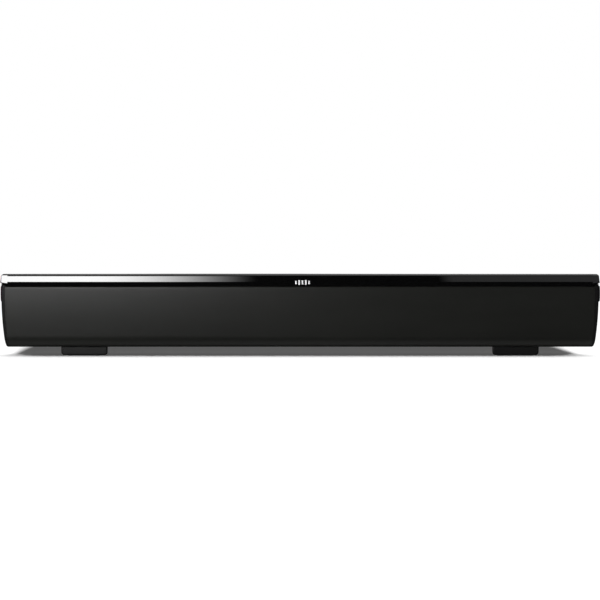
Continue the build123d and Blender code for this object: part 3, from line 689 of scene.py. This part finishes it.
class SOUNDBAR_OT_keys(bpy.types.Operator):
    """Finish the four side keys and raise their symbols"""

    bl_idname = "soundbar.keys"
    bl_label = "Side Keys"

    def execute(self, context):
        sizes = context.scene.soundbar_sizes
        colours = context.scene.soundbar_colours
        key = moulded_finish("key_moulding", scaled(colours.moulding, 1.5), 0.7, (0.32, 0.45))
        ink = moulded_finish("key_ink", (0.62, 0.62, 0.6), 0.6, (0.45, 0.6))
        for name in KEY_NAMES:
            smooth_copy(f"{name}_button", key)
            low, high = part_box(f"{name}_button")
            centre = Vector((high.x, (low.y + high.y) / 2, (low.z + high.z) / 2))
            symbol = self.symbol(name, centre, sizes.mark_height)
            new_piece(f"{name}_symbol", symbol, f"{name}_key", ink)
        plungers = [f"{name}_plunger" for name in KEY_NAMES]
        paint([*plungers, "switch_bodies"], components_finish("switch_plastic"))
        paint(["control_board", "main_board", "power_board", "sensor_board"], board_finish("circuit_board"))
        paint(["board_components"], components_finish("component_bodies"))
        return {"FINISHED"}

    @staticmethod
    def symbol(name, centre, height):
        """A maker of one raised symbol: bars and rings on the key's face."""
        line = 0.7 * MM
        reach = 2.1 * MM

        def bar(bm, y, z, width, tall):
            made = bmesh.ops.create_cube(bm, size=1.0)
            bmesh.ops.scale(bm, vec=(height, width, tall), verts=made["verts"])
            shift = centre + Vector((height * 0.3, y, z))
            bmesh.ops.translate(bm, vec=shift, verts=made["verts"])

        def ring(bm, radius, start, sweep):
            section = [bm.verts.new(centre + Vector((dx, 0, radius + dz))) for dx, dz in
                       ((-height * 0.2, 0), (height * 0.8, 0), (height * 0.8, line), (-height * 0.2, line))]
            face = bm.faces.new(section)
            turn = Matrix.Translation(centre) @ Matrix.Rotation(start, 4, "X") @ Matrix.Translation(-centre)
            bmesh.ops.transform(bm, matrix=turn, verts=section)
            full = abs(sweep) >= 2 * math.pi - 1e-6
            bmesh.ops.spin(
                bm, geom=[face, *face.edges, *section], cent=centre, axis=(1, 0, 0), angle=sweep, steps=20,
                use_merge=full,
            )
            bmesh.ops.recalc_face_normals(bm, faces=bm.faces)

        def make(bm):
            if name == "power":
                ring(bm, 1.6 * MM, math.radians(35), math.radians(290))
                bar(bm, 0, 1.5 * MM, line, 2.2 * MM)
            elif name == "source":
                ring(bm, 1.7 * MM, math.radians(-50), math.radians(280))
                bar(bm, -1.2 * MM, 0, 2.8 * MM, line)
            else:
                bar(bm, 0, 0, 2 * reach, line)
                if name == "volume_up":
                    bar(bm, 0, 0, line, 2 * reach)

        return make


class SOUNDBAR_OT_drivers(bpy.types.Operator):
    """Finish the woofers and the tweeters behind the cloth"""

    bl_idname = "soundbar.drivers"
    bl_label = "Drivers"

    def execute(self, context):
        paper = paper_finish("cone_paper")
        rubber = rubber_finish("surround_rubber")
        spider = woven_finish("spider_cloth", (0.32, 0.2, 0.06), (0.62, 0.42, 0.16))
        dome = woven_finish("dome_silk", (0.008, 0.008, 0.009), (0.035, 0.034, 0.033), 0.35 * MM)
        steel = moulded_finish("basket_enamel", (0.014, 0.014, 0.015), 0.8, (0.3, 0.42))
        coil = coil_finish("coil_copper")
        motor_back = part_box("left_woofer_motor")[1].y
        motor = motor_finish("motor_metal", motor_back - 12 * MM, motor_back - 3 * MM)
        for side in SIDE_NAMES:
            paint([f"{side}_woofer_cone", f"{side}_woofer_dust_cap"], paper)
            paint([f"{side}_woofer_surround"], rubber)
            paint([f"{side}_woofer_spider"], spider)
            paint([f"{side}_woofer_basket", f"{side}_tweeter_housing"], steel)
            paint([f"{side}_woofer_voice_coil"], coil)
            paint([f"{side}_woofer_motor"], motor)
            paint([f"{side}_tweeter_dome"], dome)
        paint(["driver_gaskets"], rubber_finish("gasket_foam", (0.022, 0.022, 0.022)))
        return {"FINISHED"}


class SOUNDBAR_OT_sockets(bpy.types.Operator):
    """Finish the sockets, the inserts, the fasteners and the heat sink"""

    bl_idname = "soundbar.sockets"
    bl_label = "Sockets And Fasteners"

    def execute(self, context):
        zinc = metal_finish("zinc_plate", (0.66, 0.66, 0.64))
        nickel = metal_finish("nickel_plate", (0.74, 0.71, 0.64), (0.14, 0.24))
        brass = metal_finish("brass", (0.78, 0.57, 0.27), (0.24, 0.4))
        fins = metal_finish("heat_sink_aluminium", (0.62, 0.63, 0.64), (0.3, 0.45), (1.0, 0.04, 1.0))
        paint(["foot_screws", "case_screws", "driver_screws", "plate_screws"], zinc)
        paint(["inlet_pins", "rca_shells"], nickel)
        paint(["bracket_inserts"], brass)
        paint(["heat_sink"], fins)
        paint(["connector_plate"], moulded_finish("plate_enamel", (0.012, 0.012, 0.013), 2.2, (0.34, 0.5)))
        paint(["foot_pads"], rubber_finish("foot_rubber"))
        low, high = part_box("rca_shells")
        third = (high.x - low.x) / 3
        edges = (low.x + third, high.x - third)
        colours = ((0.7, 0.7, 0.68), (0.45, 0.012, 0.01), (0.62, 0.2, 0.01))
        paint(["rca_insulators"], socket_ring_finish("socket_rings", edges, colours))
        return {"FINISHED"}


# The studio is in metres. Its panels hang in front of the bar, and its flag's rows run from front to back.
PANEL_DISTANCE = 1.85
OVERHEAD_HEIGHT = 1.9
EYE_TILT = math.radians(0.556)
SENSOR_WIDTH = 36.0
FLOOR_HALF_SIZE = (9.0, 6.1)
FLOOR_CENTRE_Y = 3.75
REAR_LEAN = 58
REAR_HEADINGS = {"rear_left_light": 150, "rear_right_light": 215}
FLAG_ROWS = (  # place in Y, left end, right end, height
    (CAD_LOW.y + 0.02, -0.386, 0.375, 0.11),
    (CAD_LOW.y + 0.1, -0.394, 0.38, 0.014),
    (CAD_HIGH.y + 0.27, -0.418, 0.392, 0.028),
    (CAD_HIGH.y + 0.42, -0.35, 0.33, 0.2),
)


class SOUNDBAR_OT_stage(bpy.types.Operator):
    """Lay the pale floor, hang the lights and place the camera"""

    bl_idname = "soundbar.stage"
    bl_label = "Studio"

    def execute(self, context):
        studio = context.scene.soundbar_studio
        front = CAD_LOW.y
        floor = self.floor()
        flag = self.flag()
        panel_y = front - PANEL_DISTANCE
        box = self.softbox(
            "front_softbox", (-1.75, -0.095), (0.33, 0.72), panel_y, studio.softbox, (0.75, 1.0)
        )
        card = self.softbox("dim_card", (0.32, 1.7), (0.33, 1.0), panel_y, studio.card, (0.0, 0.03))
        key = self.sun("floor_light", studio.floor_light, 50, (-18, 0), only=floor)
        key.light_linking.blocker_collection = self.listed("floor_light_blockers", flag, "INCLUDE")
        self.sun("overhead_light", studio.overhead, 70, (0, 0), never=floor, through=flag)
        for name, heading in REAR_HEADINGS.items():
            self.sun(name, studio.rear, 50, (REAR_LEAN, heading), never=floor, through=flag)
        self.sun("floor_bounce", studio.bounce, 60, (165, 0), never=floor, through=floor)
        top = self.softbox(
            "overhead_softbox", (-0.9, 0.9), (-0.45, 0.75), OVERHEAD_HEIGHT, studio.overhead_box, (0.0, 0.3),
            level=True,
        )
        for panel in (box, card, top):
            panel.light_linking.receiver_collection = self.listed(f"{panel.name}_receivers", floor, "EXCLUDE")
            panel.light_linking.blocker_collection = self.listed(f"{panel.name}_blockers", flag, "EXCLUDE")
        self.surroundings(context.scene)
        context.scene.view_settings.view_transform = "Standard"
        camera = bpy.data.cameras.new("camera")
        camera.lens = studio.lens
        camera.sensor_width = SENSOR_WIDTH
        eye = bpy.data.objects.new("camera", camera)
        eye.location = (0.0, front - studio.eye_distance, studio.eye_height)
        eye.rotation_euler = (math.pi / 2 - EYE_TILT, 0, 0)
        context.scene.collection.objects.link(eye)
        context.scene.camera = eye
        return {"FINISHED"}

    @staticmethod
    def stage_piece(name, mesh_maker, material):
        mesh = bpy.data.meshes.new(name)
        bm = bmesh.new()
        mesh_maker(bm)
        bm.to_mesh(mesh)
        bm.free()
        mesh.materials.append(material)
        piece = bpy.data.objects.new(name, mesh)
        bpy.context.scene.collection.objects.link(piece)
        return piece

    def floor(self):
        """A pale matt floor that reaches well past the view on every side, with a faint painted glow that
        lightens the shadow on it.
        """
        f = Finish("pale_floor")
        glow = bpy.context.scene.soundbar_studio.floor_glow
        f.set(
            Base_Color=f.noise(3.0).blend((0.84, 0.84, 0.84), (0.86, 0.86, 0.86)),
            Roughness=0.9,
            Specular_IOR_Level=0.0,
            # painted light: a faint even glow that lightens the floor's shadow
            Emission_Color=(1.0, 1.0, 1.0),
            Emission_Strength=glow,
        )

        def lay(bm):
            bmesh.ops.create_grid(bm, x_segments=2, y_segments=2, size=1.0)
            bmesh.ops.scale(bm, vec=(*FLOOR_HALF_SIZE, 1.0), verts=bm.verts)
            bmesh.ops.translate(bm, vec=(0, FLOOR_CENTRE_Y, 0), verts=bm.verts)

        floor = self.stage_piece("floor", lay, f.material)
        floor.visible_glossy = False
        return floor

    def flag(self):
        """A flag through and behind the bar, which alone shades the floor from its light."""
        f = Finish("flag_cloth")
        f.set(Base_Color=(0.01, 0.01, 0.01), Roughness=0.9)

        def hang(bm):
            edges = [[bm.verts.new((x, y, z)) for x in (left, right)] for y, left, right, z in FLAG_ROWS]
            for near, far in zip(edges, edges[1:]):
                bm.faces.new((*near, *reversed(far)))

        flag = self.stage_piece("shadow_flag", hang, f.material)
        flag.visible_camera = False
        flag.visible_diffuse = False
        flag.visible_glossy = False
        flag.visible_transmission = False
        return flag

    @staticmethod
    def listed(name, piece, state):
        """A list of one piece that a light shines on, or leaves out."""
        members = bpy.data.collections.new(name)
        members.objects.link(piece)
        members.collection_objects[0].light_linking.link_state = state
        return members

    def sun(self, name, strength, angle, turns, only=None, never=None, through=None):
        """A soft far light, which may be for one piece, or for all but one."""
        sun = bpy.data.lights.new(name, "SUN")
        sun.energy = strength
        sun.angle = math.radians(angle)
        lamp = bpy.data.objects.new(name, sun)
        lean, heading = (math.radians(turn) for turn in turns)
        lamp.rotation_euler = (lean, 0, heading)
        bpy.context.scene.collection.objects.link(lamp)
        if only:
            lamp.light_linking.receiver_collection = self.listed(f"{name}_receivers", only, "INCLUDE")
        if never:
            lamp.light_linking.receiver_collection = self.listed(f"{name}_receivers", never, "EXCLUDE")
        if through:
            lamp.light_linking.blocker_collection = self.listed(f"{name}_blockers", through, "EXCLUDE")
        return lamp

    def softbox(self, name, xs, spans, depth, radiance, fade, level=False):
        """A glowing panel, upright in front or level above, whose light fades along X between two shares."""
        material = bpy.data.materials.new(name)
        material.use_nodes = True
        tree = material.node_tree
        tree.nodes.clear()
        root = Sock(tree, None)
        x = root.node("ShaderNodeSeparateXYZ", None, {0: root.node("ShaderNodeTexCoord", output=3)})
        share = (x - xs[0]) / (xs[1] - xs[0])
        if fade[0] > 0:
            ramp = (fade[1] - share) / (fade[1] - fade[0])
        else:
            ramp = share / fade[1]
        ramp = ramp.clamped()
        smooth = ramp * ramp * (3.0 - ramp * 2.0)
        light = {"Color": (1.0, 1.0, 1.0), "Strength": smooth * radiance}
        glow = root.node("ShaderNodeEmission", None, light)
        root.node("ShaderNodeOutputMaterial", None, {"Surface": glow})

        def hang(bm):
            bmesh.ops.create_grid(bm, x_segments=4, y_segments=4, size=0.5)
            bmesh.ops.scale(bm, vec=(xs[1] - xs[0], spans[1] - spans[0], 1.0), verts=bm.verts)
            turn = math.pi if level else -math.pi / 2
            bmesh.ops.rotate(bm, cent=(0, 0, 0), matrix=Matrix.Rotation(turn, 3, "X"), verts=bm.verts)
            middle = (sum(xs) / 2, sum(spans) / 2, depth) if level else (sum(xs) / 2, depth, sum(spans) / 2)
            bmesh.ops.translate(bm, vec=middle, verts=bm.verts)

        panel = self.stage_piece(name, hang, material)
        panel.visible_camera = False
        panel.visible_shadow = False
        return panel

    @staticmethod
    def surroundings(scene):
        """White behind the object, dark to its reflections."""
        world = bpy.data.worlds.new("studio")
        world.use_nodes = True
        world.node_tree.nodes.clear()
        root = Sock(world.node_tree, None)
        seen = root.node("ShaderNodeLightPath")
        strength = seen.spread(0.02, 1.0)
        glow = root.node("ShaderNodeBackground", None, {"Color": (1.0, 1.0, 1.0), "Strength": strength})
        root.node("ShaderNodeOutputWorld", None, {"Surface": glow})
        scene.world = world


class SOUNDBAR_PT_panel(bpy.types.Panel):
    """Lists the sizes, the colours and the steps"""

    bl_idname = "SOUNDBAR_PT_panel"
    bl_label = "Soundbar"
    bl_space_type = "VIEW_3D"
    bl_region_type = "UI"
    bl_category = "Soundbar"

    def draw(self, context):
        for group in (
            context.scene.soundbar_sizes, context.scene.soundbar_colours, context.scene.soundbar_studio
        ):
            box = self.layout.box()
            for name in group.__annotations__:
                box.prop(group, name)
        for operator in STEPS:
            self.layout.operator(operator.bl_idname)


STEPS = (
    SOUNDBAR_OT_stage,
    SOUNDBAR_OT_shell,
    SOUNDBAR_OT_cloth,
    SOUNDBAR_OT_badge,
    SOUNDBAR_OT_keys,
    SOUNDBAR_OT_drivers,
    SOUNDBAR_OT_sockets,
)
CLASSES = (SoundbarSizes, SoundbarColours, SoundbarStudio, *STEPS, SOUNDBAR_PT_panel)


def register():
    for cls in CLASSES:
        bpy.utils.register_class(cls)
    bpy.types.Scene.soundbar_sizes = PointerProperty(type=SoundbarSizes)
    bpy.types.Scene.soundbar_colours = PointerProperty(type=SoundbarColours)
    bpy.types.Scene.soundbar_studio = PointerProperty(type=SoundbarStudio)


def unregister():
    del bpy.types.Scene.soundbar_studio
    del bpy.types.Scene.soundbar_colours
    del bpy.types.Scene.soundbar_sizes
    for cls in reversed(CLASSES):
        bpy.utils.unregister_class(cls)


def main():
    register()
    bpy.ops.soundbar.stage()
    bpy.ops.soundbar.shell()
    bpy.ops.soundbar.cloth()
    bpy.ops.soundbar.badge()
    bpy.ops.soundbar.keys()
    bpy.ops.soundbar.drivers()
    bpy.ops.soundbar.sockets()


if __name__ == "__main__":
    main()
